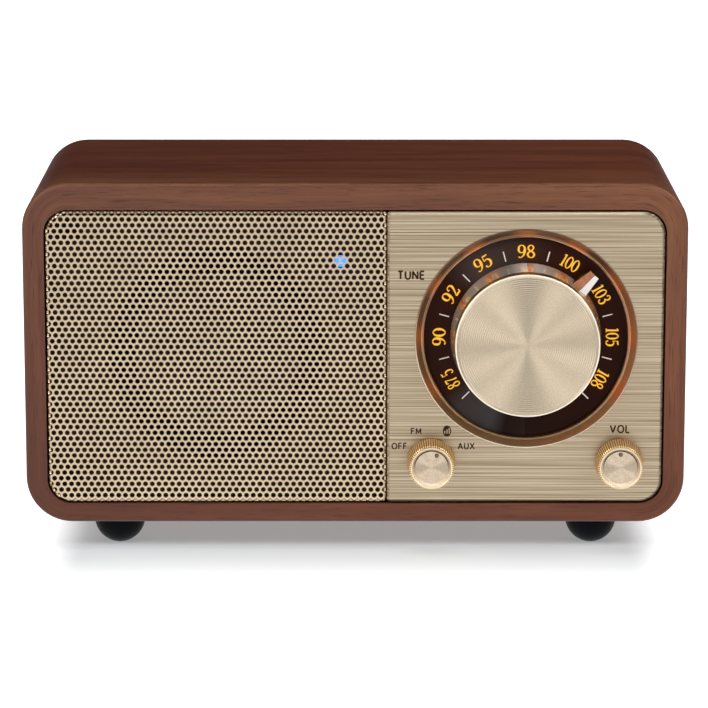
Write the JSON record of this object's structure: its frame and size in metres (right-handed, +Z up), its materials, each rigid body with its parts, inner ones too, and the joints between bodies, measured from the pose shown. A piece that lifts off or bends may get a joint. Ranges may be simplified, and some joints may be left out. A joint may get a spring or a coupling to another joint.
{
  "type": "tabletop radio",
  "caption": "Small tabletop radio with a rounded wooden cabinet, a perforated metal grille, a round lit tuning dial with a large knob, and small knobs for mode and volume.",
  "frame": {"origin": "the middle of the radio on the surface that its feet stand on", "axes": "+X to the right and +Z up as seen from the front, which faces -Y; the back faces +Y"},
  "size_m": [0.18, 0.0966, 0.102],
  "materials": {
    "walnut": "satin, dark walnut veneer",
    "block_wood": "raw wood",
    "black_rubber": "satin",
    "steel": "plated",
    "black_board": "matte",
    "champagne_metal": "brushed, champagne",
    "grille_metal": "satin, champagne",
    "copper_metal": "polished, copper-coloured",
    "spun_metal": "spun, champagne",
    "knob_brass": "knurled",
    "dial_plate": "smoked, lit from behind",
    "light_guide": "frosted",
    "circuit_board": "satin",
    "lamp": "clear",
    "status_light": "lit",
    "black_plastic": "satin",
    "cone_paper": "matte",
    "spider_cloth": "matte",
    "magnet": "matte",
    "copper_wire": "wound",
    "battery_wrap": "satin",
    "capacitor_sleeve": "satin",
    "fibre_board": "matte",
    "red_lead": "satin",
    "amber_lead": "satin"
  },
  "bodies": {
    "radio": {"cabinet": "walnut", "front_blocks": "block_wood", "rear_blocks": "block_wood", "rubber_feet": "black_rubber", "foot_screws": "steel", "front_baffle": "black_board", "baffle_screws": "steel", "speaker_grille": "grille_metal", "control_panel": "champagne_metal", "dial_bezel": "copper_metal", "dial_plate": "dial_plate", "dial_light_guide": "light_guide", "dial_lamp_board": "circuit_board", "dial_lamps": "lamp", "tuning_control": "steel", "tuning_nut": "steel", "mode_switch": "steel", "volume_control": "steel", "small_nuts": "steel", "status_led": "status_light", "led_clip": "black_plastic", "speaker_gasket": "black_rubber", "speaker_basket": "black_plastic", "speaker_surround": "black_rubber", "speaker_spider": "spider_cloth", "top_plate": "steel", "magnet": "magnet", "back_plate": "steel", "speaker_terminals": "fibre_board", "speaker_screws": "steel", "main_board": "circuit_board", "tuner_can": "steel", "capacitors": "capacitor_sleeve", "amplifier": "black_plastic", "board_screws": "steel", "battery_pack": "battery_wrap", "battery_bracket": "black_plastic", "back_cover": "black_board", "cover_screws": "steel", "bass_port": "black_plastic", "aux_jack": "black_plastic", "dc_inlet": "black_plastic", "antenna_socket": "steel", "antenna_nut": "steel", "speaker_leads": "red_lead", "battery_leads": "red_lead", "lamp_leads": "amber_lead"},
    "tuning": {"tuning_shaft": "steel", "tuning_knob": "copper_metal", "tuning_disc": "spun_metal", "tuning_pointer": "spun_metal"},
    "mode_selector": {"mode_shaft": "steel", "mode_knob": "knob_brass", "mode_knob_cap": "spun_metal"},
    "volume": {"volume_shaft": "steel", "volume_knob": "knob_brass", "volume_knob_cap": "spun_metal"},
    "cone": {"speaker_cone": "cone_paper", "dust_cap": "cone_paper", "voice_coil": "copper_wire"}
  },
  "joints": [
    {"name": "tuning_turn", "type": "hinge", "parent": "radio", "child": "tuning", "pos_m": [0.0464, -0.03865, 0.0593], "axis": [0, 1, 0], "range_deg": [-180, 90]},
    {"name": "mode_turn", "type": "hinge", "parent": "radio", "child": "mode_selector", "pos_m": [0.02075, -0.03865, 0.0251], "axis": [0, 1, 0], "range_deg": [-90, 45]},
    {"name": "volume_turn", "type": "hinge", "parent": "radio", "child": "volume", "pos_m": [0.07205, -0.03865, 0.0251], "axis": [0, 1, 0], "range_deg": [-150, 150]},
    {"name": "cone_travel", "type": "slide", "parent": "radio", "child": "cone", "axis": [0, 1, 0], "range_m": [-0.0015, 0.0015], "stiffness_N_per_m": 1000}
  ]
}
